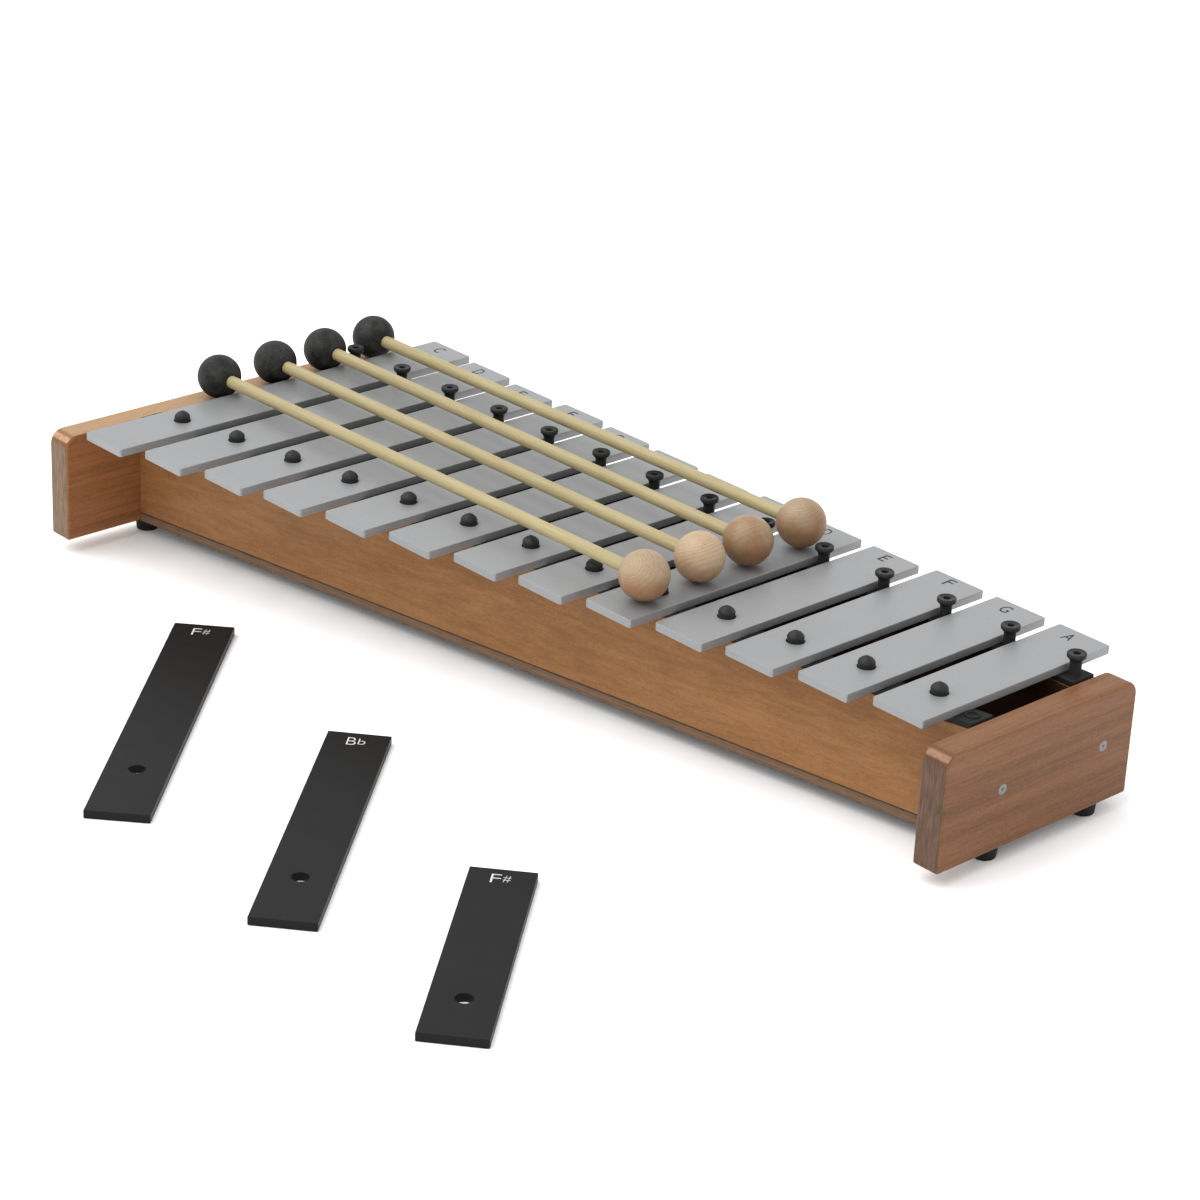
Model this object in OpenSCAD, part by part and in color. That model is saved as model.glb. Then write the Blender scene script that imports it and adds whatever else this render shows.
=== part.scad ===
// Diatonic set of thirteen metal bars, C5 to A6, on a wooden resonance box with slanted rails,
// with three chromatic spare bars lying in front of it and four double-ended mallets lying across it.
// X runs from the low bar to the high bar, Y from the player to the rear, Z up from the table.

/* [Bars] */
// Length of the lowest bar, C5
bar_len = 192; // [170:1:240]
// Width of every bar
bar_w = 25; // [20:0.5:32]
// Thickness of every bar
bar_t = 3.5; // [2.5:0.1:5]
// Space between neighbouring bars
bar_gap = 6.6; // [5.4:0.1:10]
// Radius of the bars' upright corners
bar_corner = 1.2; // [0.5:0.1:3]
// Distance from a bar's front end to its hole, as a share of its length
hole_share = 0.2135; // [0.19:0.0005:0.24]
// Radial play between a bar's hole and its pin
hole_play = 0.3; // [0.2:0.05:0.6]

/* [Rows that carry the bars] */
// Distance between the two rows at the lowest bar
row_span_low = 107.8; // [90:0.1:130]
// Distance between the two rows at the highest bar
row_span_high = 57.5; // [45:0.1:70]
// How far the rear row steps back from the lowest to the highest bar
rear_row_step = 12.5; // [0:0.1:16]

/* [Box] */
// Height of the end plates
plate_h = 47.4; // [40:0.2:60]
// Thickness of the end plates
plate_t = 12.3; // [9:0.1:18]
// Radius of the end plates' top corners
plate_corner = 6; // [2:0.5:10]
// How far the low end plate stands out in front of the front rail
low_plate_front = 37.5; // [30:0.5:50]
// How far the low end plate stands out behind the rear row
low_plate_rear = 37.5; // [30:0.5:50]
// How far the high end plate stands out in front of the front rail
high_plate_front = 26; // [20:0.5:40]
// How far the high end plate stands out behind the rear row
high_plate_rear = 17; // [12:0.5:30]
// Space between an outer post and the end plate beside it
plate_gap = 4.5; // [4.3:0.1:8]
// Thickness of both rails
rail_t = 12.3; // [11:0.1:18]
// Distance from the front rail's face to the pins at the lowest bar
rail_face_low = 5; // [4.5:0.1:6]
// Distance from the front rail's face to the pins at the highest bar
rail_face_high = 7.8; // [5:0.1:8]
// How far the rails' tops lie below the end plates' tops
rail_drop = 1.8; // [1:0.1:4]
// Thickness of the bottom board
board_t = 4; // [3:0.1:8]

/* [Strips, pins and posts] */
// Thickness of the rubber strips on the rails
strip_t = 2.6; // [2.4:0.1:5]
// How far a strip's edges lie inside the rail's edges
strip_inset = 0.2; // [0:0.1:1]
// Diameter of a front pin's collar and dome
pin_d = 6.5; // [5:0.1:8]
// Height of a pin's collar above the bar
pin_collar_h = 1.3; // [0.6:0.1:3]
// Depth of the groove between collar and dome
pin_groove = 0.35; // [0.1:0.05:0.8]
// Height of a pin's dome
pin_dome_h = 3; // [2:0.1:3.2]
// Diameter of a rear post's head
post_head_d = 7.6; // [6:0.1:9]
// Thickness of a rear post's head
post_head_t = 1.5; // [1:0.1:2]
// Diameter of a rear post's shank
post_shank_d = 4.6; // [3.6:0.1:5.2]
// Diameter of a rear post's base flange
post_flange_d = 8.2; // [6:0.1:8.5]
// Thickness of a rear post's base flange
post_flange_t = 1.9; // [1.2:0.1:2.2]
// Height of a rear post's head above the bars
post_rise = 5.4; // [4:0.1:7]
// Diameter of the nails that hold the pins and posts
nail_d = 2; // [1.4:0.1:2.4]
// Depth of those nails in the rails
nail_depth = 16; // [8:1:24]

/* [Feet and screws] */
// Height of the rubber feet
foot_h = 6.5; // [4:0.1:12]
// Diameter of a foot where it meets the box
foot_top_d = 10.4; // [8:0.1:12]
// Diameter of a foot where it stands on the table
foot_base_d = 9.4; // [7:0.1:12]
// Distance from the rails' middle lines back to the feet
foot_back = 1.6; // [0:0.1:6]
// How far the feet sit inwards of the end plates' middles
foot_in = 1.4; // [0:0.1:3]
// Diameter of the screws' heads
screw_head_d = 4.6; // [4:0.1:6]
// Height of the screws' heads
screw_head_h = 1.6; // [1:0.1:2]
// Diameter of the screws' shanks
screw_d = 2.4; // [2:0.1:3]
// Length of the screws that join end plates and rails
plate_screw_len = 34; // [28:1:45]
// Length of the screws that hold the feet
foot_screw_len = 16; // [12:1:25]

/* [Mallets] */
// How far past the middle of bar D6 the wooden heads lie; the handles are cut to suit
wood_head_past = 2; // [-3:0.1:4]
// Diameter of the mallets' handles
handle_d = 5.5; // [4:0.1:6.5]
// Diameter of the wooden heads
wood_head_d = 20.2; // [18:0.1:24]
// Diameter of the rubber heads
rubber_head_d = 19.2; // [18:0.1:23]
// How far a handle reaches past the middle of each head
handle_past = 4; // [0:0.5:6]
// Room for the lowest bar to rise under the rubber heads
rubber_room = 0.8; // [0.4:0.1:2]

/* [Hidden] */
$fn = 64;

BAR_NODES = [
    "bar_c5", "bar_d5", "bar_e5", "bar_f5", "bar_g5", "bar_a5", "bar_b5",
    "bar_c6", "bar_d6", "bar_e6", "bar_f6", "bar_g6", "bar_a6",
];
SPARE_NODES = ["spare_f_sharp_5", "spare_b_flat_5", "spare_f_sharp_6"];
HANDLE_NODES = ["mallet_1_handle", "mallet_2_handle", "mallet_3_handle", "mallet_4_handle"];
WOOD_NODES = ["mallet_1_wood_head", "mallet_2_wood_head", "mallet_3_wood_head", "mallet_4_wood_head"];
RUBBER_NODES = [
    "mallet_1_rubber_head", "mallet_2_rubber_head", "mallet_3_rubber_head", "mallet_4_rubber_head",
];

// Semitones of each bar above the lowest one, C5; a bar's length falls by the square root of its pitch
BAR_NOTES = [0, 2, 4, 5, 7, 9, 11, 12, 14, 16, 17, 19, 21];
SPARE_NOTES = [6, 10, 18];
function note_len(semitones) = bar_len * pow(2, -semitones / 24);

// The set is laid out with bar C5 on X = 0 and the rear row starting at Y = 0 there
pitch = bar_w + bar_gap;
last = len(BAR_NOTES) - 1;
row_len = last * pitch;
function along(x, low, high) = low + (high - low) * x / row_len;
function rear_row(x) = along(x, 0, rear_row_step);
function front_row(x) = along(x, -row_span_low, rear_row_step - row_span_high);
function rail_face(x) = along(x, -row_span_low - rail_face_low,
                              rear_row_step - row_span_high - rail_face_high);
function front_rail_mid(x) = rail_face(x) + rail_t / 2;
function post_x(i) = (i - 0.5) * pitch;

low_in = post_x(0) - plate_gap;
low_out = low_in - plate_t;
high_in = post_x(last + 1) + plate_gap;
high_out = high_in + plate_t;

// Heights
plate_top = foot_h + plate_h;
rail_bottom = foot_h + board_t;
rail_top = plate_top - rail_drop;
bar_bottom = rail_top + strip_t;
bar_top = bar_bottom + bar_t;
rail_mid_z = (rail_bottom + rail_top) / 2;

// Small clearances
fit_play = 0.05;
flange_play = 0.15;
rest_play = 0.3;

// End plates, from front to rear
low_front_y = rail_face(low_in) - low_plate_front;
low_rear_y = rear_row(low_in) + low_plate_rear;
high_front_y = rail_face(high_in) - high_plate_front;
high_rear_y = rear_row(high_in) + high_plate_rear;

// Posts and pins
pin_hole_d = pin_d + 2 * hole_play;
post_top = bar_top + post_rise;
post_cone_h = (post_head_d - post_shank_d) / 2 * 0.8;
nail_head_d = nail_d + 0.5;
nail_head_h = 0.8;
nail_recess = 2.2;
post_bore_d = nail_d + 0.7;

// Mallets: the rubber heads rest on the low end plate beside bar C5, the wooden ones on bar D6.
// Each head's place is a share of the way from the front row to the rear row.
RUBBER_SHARES = [0.351, 0.627, 0.88, 1.133];
WOOD_SHARES = [-0.147, 0.251, 0.609, 1.012];
wood_bar = 8;
rubber_z = plate_top + rubber_head_d / 2 + rest_play;
wood_z = bar_top + wood_head_d / 2 + rest_play;
rubber_reach = rubber_head_d / 2 + rest_play;
rubber_drop = rubber_z - bar_top - rubber_room;
rubber_x = -bar_w / 2 - sqrt(rubber_reach * rubber_reach - rubber_drop * rubber_drop);
mallet_len = wood_bar * pitch + wood_head_past - rubber_x;
function between_rows(x, share) = front_row(x) + share * (rear_row(x) - front_row(x));
// The heads on either side of the first post keep clear of it
function clear_of(y, post_y, room) = y < post_y ? min(y, post_y - room) : max(y, post_y + room);
function rubber_y(i) = clear_of(between_rows(rubber_x, RUBBER_SHARES[i]), rear_row(post_x(0)),
                                (rubber_head_d + post_head_d) / 2);
function wood_y(i) = between_rows(rubber_x + mallet_len, WOOD_SHARES[i]);
function mallet_dx(i) = sqrt(mallet_len * mallet_len - pow(wood_y(i) - rubber_y(i), 2)
                             - pow(wood_z - rubber_z, 2));

// Spare bars on the table: X and Y of the front edge's middle, and the bar's turn
SPARE_PLACES = [[189.5, -275.5, 42.5], [288.5, -275.5, 40.7], [382.5, -278, 40.5]];
// How much longer each spare bar is cut than its pitch asks
SPARE_EXTRA = [4, 2.3, 0];

// The origin is under the middle of everything that stands on the table
function corner_front(place) = place.y - (bar_w / 2 - bar_corner) * sin(place.z)
    + bar_corner * (cos(place.z) - 1);
bars_rear = max([for (i = [0:last]) front_row(i * pitch) + (1 - hole_share) * note_len(BAR_NOTES[i])]);
y_front = min([for (place = SPARE_PLACES) corner_front(place)]);
y_rear = max(bars_rear, low_rear_y, high_rear_y);
x_middle = (low_out + high_out) / 2;
y_middle = (y_front + y_rear) / 2;

module placed() {
    translate([-x_middle, -y_middle, 0]) children();
}

// Flat rectangle from its front edge's middle, with four round corners
module round_plate(w, l, r) {
    translate([-w / 2 + r, 0]) square([w - 2 * r, l]);
    translate([-w / 2, r]) square([w, l - 2 * r]);
    for (x = [-w / 2 + r, w / 2 - r], y = [r, l - r]) translate([x, y]) circle(r);
}

// A bar lying flat, its front edge's middle at the origin, with the hole for its pin
module bar_blank(l) {
    difference() {
        linear_extrude(bar_t) round_plate(bar_w, l, bar_corner);
        translate([0, hole_share * l, -1]) cylinder(d = pin_hole_d, h = bar_t + 2);
    }
}

module bar(i) {
    x = i * pitch;
    front = front_row(x) - hole_share * note_len(BAR_NOTES[i]);
    color("silver") placed() translate([x, front, bar_bottom]) bar_blank(note_len(BAR_NOTES[i]));
}

module spare_bar(i) {
    place = SPARE_PLACES[i];
    color("dimgray") placed() translate([place.x, place.y, 0]) rotate(place.z)
        bar_blank(note_len(SPARE_NOTES[i]) + SPARE_EXTRA[i]);
}

// Hole along X through an end plate for a screw into a rail's end, with its countersink
module plate_screw(x, y, side, play) {
    translate([x, y, rail_mid_z]) rotate([0, -90 * side, 0]) {
        cylinder(d1 = screw_head_d + 2 * play, d2 = screw_d + 2 * play, h = screw_head_h);
        cylinder(d = screw_d + 2 * play, h = plate_screw_len);
    }
}

// side is 1 at the high end, where the screws point towards the low end, and -1 at the low end
module all_plate_screws(play) {
    plate_screw(high_out, front_rail_mid(high_in), 1, play);
    plate_screw(high_out, rear_row(high_in), 1, play);
    plate_screw(low_out, front_rail_mid(low_in), -1, play);
    plate_screw(low_out, rear_row(low_in), -1, play);
}

FOOT_PLACES = [
    for (x = [(low_out + low_in) / 2 + foot_in, (high_out + high_in) / 2 - foot_in])
        for (y = [front_rail_mid(x), rear_row(x)]) [x, y + foot_back]
];

module foot_screw_shape(play) {
    head_z = foot_h / 2;
    translate([0, 0, head_z - screw_head_h]) cylinder(d = screw_head_d + 2 * play, h = screw_head_h);
    translate([0, 0, head_z]) cylinder(d = screw_d + 2 * play, h = foot_screw_len);
}

// An end plate on edge: its outline has round top corners
module end_plate(x, front, rear) {
    l = rear - front;
    color("sienna") placed() difference() {
        translate([x, front, foot_h]) rotate([90, 0, 90]) linear_extrude(plate_t) {
            square([l, plate_h - plate_corner]);
            translate([plate_corner, 0]) square([l - 2 * plate_corner, plate_h]);
            for (y = [plate_corner, l - plate_corner])
                translate([y, plate_h - plate_corner]) circle(plate_corner);
        }
        all_plate_screws(fit_play);
        for (p = FOOT_PLACES) translate(p) foot_screw_shape(fit_play);
    }
}

// A straight board between the end plates; front and rear give Y for an X
module low_to_high(front_low, front_high, rear_low, rear_high, h) {
    linear_extrude(h)
        polygon([[low_in, front_low], [high_in, front_high], [high_in, rear_high], [low_in, rear_low]]);
}

module nail_hole(x, y) {
    translate([x, y, rail_top - nail_depth]) cylinder(d = nail_d + 2 * fit_play, h = nail_depth + 1);
}

module front_rail() {
    color("peru") placed() difference() {
        translate([0, 0, rail_bottom])
            low_to_high(rail_face(low_in), rail_face(high_in), rail_face(low_in) + rail_t,
                        rail_face(high_in) + rail_t, rail_top - rail_bottom);
        for (i = [0:last]) nail_hole(i * pitch, front_row(i * pitch));
        all_plate_screws(fit_play);
    }
}

module rear_rail() {
    half = rail_t / 2;
    color("peru") placed() difference() {
        translate([0, 0, rail_bottom])
            low_to_high(rear_row(low_in) - half, rear_row(high_in) - half, rear_row(low_in) + half,
                        rear_row(high_in) + half, rail_top - rail_bottom);
        for (i = [0:last + 1]) nail_hole(post_x(i), rear_row(post_x(i)));
        all_plate_screws(fit_play);
    }
}

module bottom_board() {
    half = rail_t / 2;
    color("tan") placed() translate([0, 0, foot_h])
        low_to_high(rail_face(low_in), rail_face(high_in), rear_row(low_in) + half,
                    rear_row(high_in) + half, board_t);
}

module front_strip() {
    color([0.12, 0.12, 0.12]) placed() difference() {
        translate([0, 0, rail_top])
            low_to_high(rail_face(low_in) + strip_inset, rail_face(high_in) + strip_inset,
                        rail_face(low_in) + rail_t - strip_inset,
                        rail_face(high_in) + rail_t - strip_inset, strip_t);
        for (i = [0:last]) translate([i * pitch, front_row(i * pitch), rail_top - 1])
            cylinder(d = pin_d + 2 * flange_play, h = strip_t + 2);
    }
}

module rear_strip() {
    half = rail_t / 2 - strip_inset;
    color([0.12, 0.12, 0.12]) placed() difference() {
        translate([0, 0, rail_top])
            low_to_high(rear_row(low_in) - half, rear_row(high_in) - half, rear_row(low_in) + half,
                        rear_row(high_in) + half, strip_t);
        for (i = [0:last + 1]) translate([post_x(i), rear_row(post_x(i)), rail_top - 1])
            cylinder(d = post_flange_d + 2 * flange_play, h = strip_t + 2);
    }
}

// A headed nail, standing with the underside of its head at the origin
module nail(length) {
    cylinder(d = nail_head_d, h = nail_head_h);
    translate([0, 0, -length]) cylinder(d = nail_d, h = length);
}

// Front pin: a collar that fills the bar's hole and a dome above a shallow groove
module pin_profile() {
    r = pin_d / 2;
    neck = pin_groove / 2;
    collar_top = strip_t + bar_t + pin_collar_h;
    polygon([
        [0, 0], [r, 0], [r, collar_top - 2 * neck], [r - pin_groove, collar_top - neck],
        [r - pin_groove, collar_top], [0, collar_top],
    ]);
    translate([0, collar_top]) intersection() {
        square([r, pin_dome_h]);
        translate([0, pin_dome_h - (r * r + pin_dome_h * pin_dome_h) / (2 * pin_dome_h)])
            circle((r * r + pin_dome_h * pin_dome_h) / (2 * pin_dome_h));
    }
}

pin_nail_top = strip_t + bar_t;
module front_pins() {
    color([0.16, 0.16, 0.17]) placed() for (i = [0:last])
        translate([i * pitch, front_row(i * pitch), rail_top]) difference() {
            rotate_extrude() pin_profile();
            translate([0, 0, -1]) cylinder(d = nail_d + 2 * fit_play, h = 1 + pin_nail_top);
            translate([0, 0, pin_nail_top]) cylinder(d = nail_head_d + 2 * fit_play, h = nail_head_h);
        }
}

module front_pin_nails() {
    color("lightgray") placed() for (i = [0:last])
        translate([i * pitch, front_row(i * pitch), rail_top + pin_nail_top])
            nail(pin_nail_top + nail_depth);
}

// Rear post: base flange, shank, and a flared head with an open bore above the nail
module post_profile() {
    top = post_top - rail_top;
    bore = post_bore_d / 2;
    polygon([
        [nail_d / 2 + fit_play, 0], [post_flange_d / 2, 0], [post_flange_d / 2, post_flange_t],
        [post_shank_d / 2, post_flange_t], [post_shank_d / 2, top - post_head_t - post_cone_h],
        [post_head_d / 2, top - post_head_t], [post_head_d / 2, top],
        [bore, top], [bore, top - nail_recess - nail_head_h],
        [nail_d / 2 + fit_play, top - nail_recess - nail_head_h],
    ]);
}

module rear_posts() {
    color([0.16, 0.16, 0.17]) placed() for (i = [0:last + 1])
        translate([post_x(i), rear_row(post_x(i)), rail_top]) rotate_extrude() post_profile();
}

module rear_post_nails() {
    under_head = post_top - nail_recess - nail_head_h;
    color("lightgray") placed() for (i = [0:last + 1])
        translate([post_x(i), rear_row(post_x(i)), under_head]) nail(under_head - rail_top + nail_depth);
}

module plate_screws() {
    color("lightgray") placed() all_plate_screws(0);
}

module feet() {
    color([0.1, 0.1, 0.1]) placed() for (p = FOOT_PLACES) translate(p) difference() {
        cylinder(d1 = foot_base_d, d2 = foot_top_d, h = foot_h);
        foot_screw_shape(fit_play);
        translate([0, 0, -1]) cylinder(d = screw_head_d + 2 * fit_play, h = foot_h / 2);
    }
}

module foot_screws() {
    color("lightgray") placed() for (p = FOOT_PLACES) translate(p) foot_screw_shape(0);
}

// A mallet's own axis runs along +Z here, from the rubber head's middle to the wooden head's middle
module along_mallet(i) {
    turn = atan2(wood_y(i) - rubber_y(i), mallet_dx(i));
    tilt = acos((wood_z - rubber_z) / mallet_len);
    placed() translate([rubber_x, rubber_y(i), rubber_z]) rotate([0, tilt, turn]) children();
}

module handle(i) {
    color("khaki") along_mallet(i) translate([0, 0, -handle_past])
        cylinder(d = handle_d, h = mallet_len + 2 * handle_past);
}

module wood_head(i) {
    color("burlywood") along_mallet(i) difference() {
        translate([0, 0, mallet_len]) sphere(d = wood_head_d);
        cylinder(d = handle_d + 2 * fit_play, h = mallet_len + handle_past);
    }
}

module rubber_head(i) {
    color([0.15, 0.15, 0.15]) along_mallet(i) difference() {
        sphere(d = rubber_head_d);
        translate([0, 0, -handle_past]) cylinder(d = handle_d + 2 * fit_play, h = mallet_len);
    }
}

for (i = [0:last]) bar(i);
for (i = [0:2]) spare_bar(i);
for (i = [0:3]) handle(i);
for (i = [0:3]) wood_head(i);
for (i = [0:3]) rubber_head(i);
end_plate(low_out, low_front_y, low_rear_y);  // low_end_plate
end_plate(high_in, high_front_y, high_rear_y);  // high_end_plate
front_rail();
rear_rail();
bottom_board();
front_strip();
rear_strip();
front_pins();
front_pin_nails();
rear_posts();
rear_post_nails();
plate_screws();
feet();
foot_screws();
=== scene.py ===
"""Looks of a thirteen-bar diatonic glockenspiel, its mallets and its spare bars, built round the CAD frame."""

import math

import bmesh
import bpy
from mathutils import Matrix, Vector


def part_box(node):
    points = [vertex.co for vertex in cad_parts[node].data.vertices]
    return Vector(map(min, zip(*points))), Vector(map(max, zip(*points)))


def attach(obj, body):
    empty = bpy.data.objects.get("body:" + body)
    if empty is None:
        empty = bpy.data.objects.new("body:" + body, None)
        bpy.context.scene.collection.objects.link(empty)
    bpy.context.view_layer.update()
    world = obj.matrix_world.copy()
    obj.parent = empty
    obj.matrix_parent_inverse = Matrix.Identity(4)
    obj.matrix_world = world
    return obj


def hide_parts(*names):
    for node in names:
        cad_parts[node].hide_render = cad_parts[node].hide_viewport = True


bl_info = {
    "name": "Bar glockenspiel",
    "version": (1, 0, 0),
    "blender": (4, 5, 0),
    "location": "3D View > Sidebar > Glockenspiel",
    "description": "Builds a thirteen-bar glockenspiel with mallets and spare bars round its CAD frame",
    "category": "Object",
}

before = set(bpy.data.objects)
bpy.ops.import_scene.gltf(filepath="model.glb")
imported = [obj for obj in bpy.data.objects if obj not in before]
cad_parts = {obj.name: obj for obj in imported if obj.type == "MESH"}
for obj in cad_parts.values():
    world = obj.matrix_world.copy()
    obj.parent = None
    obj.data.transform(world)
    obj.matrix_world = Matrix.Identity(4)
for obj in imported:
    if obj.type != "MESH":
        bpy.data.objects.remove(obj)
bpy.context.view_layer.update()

MM = 0.001
# Two lengths closer than TINY are the same, and points closer than MERGE are one point
TINY = 1e-7
MERGE = 1e-6
# How far the floor reaches from the object, in metres
FLOOR_REACH = 12
# Half the height of a printed letter, of which half stands out of its bar
PRINT = 0.05 * MM

# Name of each bar's body and node, with the note that is printed on it
BARS = {
    "bar_c5": "C", "bar_d5": "D", "bar_e5": "E", "bar_f5": "F", "bar_g5": "G", "bar_a5": "A", "bar_b5": "B",
    "bar_c6": "C", "bar_d6": "D", "bar_e6": "E", "bar_f6": "F", "bar_g6": "G", "bar_a6": "A",
}
# How wide each bar's letter is, as a share of its height
LETTER_WIDTHS = {"A": 0.68, "B": 0.6, "C": 0.62, "D": 0.6, "E": 0.54, "F": 0.54, "G": 0.66}
# How far, in metres, a hand-stamped letter strays from its usual place on these bars
STRAYS = {
    "bar_e6": (0.8 * MM, 0.4 * MM), "bar_f6": (0.9 * MM, 0.9 * MM), "bar_g6": (-0.4 * MM, -0.4 * MM),
    "bar_a6": (-0.5 * MM, -0.5 * MM),
}
# Each spare bar's node, with its turn in degrees, its length, and the letter and sign printed on it
SPARES = {
    "spare_f_sharp_5": (42.5, 165.453 * MM, "F", "#"),
    "spare_b_flat_5": (40.7, 146.140 * MM, "B", "b"),
    "spare_f_sharp_6": (40.5, 114.162 * MM, "F", "#"),
}
# A spare bar's two marks: how far to the side and the rear of the letters' usual place each one is, and its size
SPARE_MARKS = {"letter": (-1.9 * MM, -0.8 * MM, 1.0), "sign": (2.1 * MM, -0.6 * MM, 0.78)}
# The marks' width as a share of their height, and how much their strokes are thinned
SPARE_MARK_WIDTH, SPARE_MARK_THIN = 0.6, 0.015
# Each mallet, with the wood of its wooden head: the grain's turn, how far off the growth rings' middle is, the tone,
# the warmth, and the radius of a ring that stands out (0 for none)
MALLETS = {
    "mallet_1": ((0.84, 0.0, 0.0), 0, 0.98, 0.03, 4.6 * MM),
    "mallet_2": ((0.35, 0.3, 0.0), 6 * MM, 1.2, -0.08, 0),
    "mallet_3": ((0.15, -0.2, 0.0), 3 * MM, 0.9, 0.19, 0),
    "mallet_4": ((0.25, 0.1, 0.0), 1 * MM, 0.92, 0.15, 0),
}


# ---------------------------------------------------------------- settings


def colour(name, description, value):
    """A colour property."""
    return bpy.props.FloatVectorProperty(
        name=name, description=description, default=value, subtype="COLOR", size=3, min=0, max=1
    )


def length(name, description, value):
    """A length property, in metres."""
    return bpy.props.FloatProperty(
        name=name, description=description, default=value, unit="LENGTH", subtype="DISTANCE", min=0, precision=5
    )


class BarSettings(bpy.types.PropertyGroup):
    """Sizes and colours of the sounding bars and the spare bars."""

    metal: colour("Bar metal", "Colour of the sounding bars' satin metal", (0.262, 0.266, 0.271))
    spare: colour("Spare bar metal", "Colour of the dark spare bars", (0.009, 0.0093, 0.0095))
    ink: colour("Letters", "Colour of the letters on the sounding bars", (0.012, 0.011, 0.011))
    spare_ink: colour("Spare bar letters", "Colour of the letters on the spare bars", (0.55, 0.55, 0.55))
    hole_share: bpy.props.FloatProperty(
        name="Hole place", description="Distance from a bar's front end to its hole, as a share of its length",
        default=0.2135, min=0.1, max=0.4, subtype="FACTOR",
    )
    width: length("Width", "Width of every bar", 25 * MM)
    hole: length("Hole", "Diameter of a sounding bar's hole", 7.1 * MM)
    spare_hole: length("Spare bar's hole", "Diameter of a spare bar's hole", 6.4 * MM)
    corner: length("Corner", "Radius of the sounding bars' upright corners", 1.0 * MM)
    spare_corner: length("Spare bar's corner", "Radius of the spare bars' upright corners", 0.5 * MM)
    edge: length("Edge", "Rounding of the bars' edges", 0.4 * MM)
    letter_height: length("Letter height", "Height of a printed letter", 6.1 * MM)
    letter_inset: length("Letter place", "Distance from a bar's rear end to the letter's middle", 6.5 * MM)
    letter_aside: length("Letter offset", "How far a letter stands to the low side of its bar's middle", 1.6 * MM)


class BoxSettings(bpy.types.PropertyGroup):
    """Sizes and colours of the wooden box."""

    low_light: colour("Low end plate, light", "Lighter wood of the low end plate", (0.280, 0.108, 0.038))
    low_dark: colour("Low end plate, dark", "Darker wood of the low end plate", (0.175, 0.066, 0.023))
    low_end: colour("Low end plate's end grain", "Low end plate across its grain", (0.149, 0.095, 0.055))
    # Painted light: the low end plate's top is given a lighter colour for the light falling on it from above
    low_lit_top: colour("Low end plate's top", "Top of the low end plate", (0.33, 0.205, 0.105))
    high_light: colour("High end plate, light", "Lighter wood of the high end plate", (0.190, 0.085, 0.036))
    high_dark: colour("High end plate, dark", "Darker wood of the high end plate", (0.108, 0.046, 0.020))
    rail_light: colour("Rail, light", "Lighter wood of the rails", (0.255, 0.120, 0.043))
    rail_dark: colour("Rail, dark", "Darker wood of the rails", (0.180, 0.078, 0.025))
    end_grain: colour("End grain", "Wood seen across its grain", (0.091, 0.051, 0.032))
    # Painted shade: the dark colour inside the box stands in for the shade under the bars, on the rails' inner faces
    # and the bottom board's faces
    inside: colour("Inside", "Dark wood inside the box", (0.040, 0.019, 0.010))
    board: colour("Board edge", "Edge of the bottom board", (0.112, 0.062, 0.034))
    plate_corner: length("Plate corner", "Radius of the end plates' top corners", 6 * MM)
    plate_edge: length("Plate edge", "Rounding of the end plates' edges", 1.1 * MM)
    rail_depth: length("Rail depth", "Thickness of the rails from front to rear", 12.3 * MM)
    strip_inset: length("Strip inset", "How far the rubber strips lie inside the rails' edges", 0.2 * MM)


class FittingSettings(bpy.types.PropertyGroup):
    """Sizes and colours of the pins, posts, strips, feet and screws."""

    moulding: colour("Pins and posts", "Colour of the moulded pins and posts", (0.013, 0.0133, 0.0133))
    rubber: colour("Strips and feet", "Colour of the black rubber", (0.010, 0.010, 0.0095))
    steel: colour("Screws", "Colour of the plated screws", (0.20, 0.20, 0.19))
    pin: length("Pin", "Diameter of a front pin", 6.5 * MM)
    cap: length("Pin cap", "Diameter of a front pin's domed cap", 6.72 * MM)
    flange: length("Post base", "Diameter of a rear post's base", 8.2 * MM)
    head: length("Post head", "Diameter of a rear post's head", 7.6 * MM)
    shank: length("Post shank", "Diameter of a rear post's shank", 4.7 * MM)
    screw: length("Screw head", "Diameter of a screw's head", 4.6 * MM)
    foot: length("Foot", "Diameter of a foot where it meets the box", 10.4 * MM)


class MalletSettings(bpy.types.PropertyGroup):
    """Sizes and colours of the mallets."""

    handle_light: colour("Handle, light", "Lighter wood of the handles", (0.342, 0.288, 0.150))
    handle_dark: colour("Handle, dark", "Darker wood of the handles", (0.268, 0.215, 0.100))
    head_light: colour("Wooden head, light", "Lighter wood of the heads", (0.318, 0.240, 0.150))
    head_dark: colour("Wooden head, dark", "Warmer, darker wood of the heads", (0.212, 0.086, 0.028))
    rubber: colour("Rubber head", "Colour of the rubber heads", (0.010, 0.010, 0.010))
    dust: colour("Dust", "Dust on the rubber heads", (0.075, 0.075, 0.070))
    handle: length("Handle", "Diameter of a handle", 5.5 * MM)
    past: length("Handle end", "How far a handle reaches past the middle of each head", 4 * MM)


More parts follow.
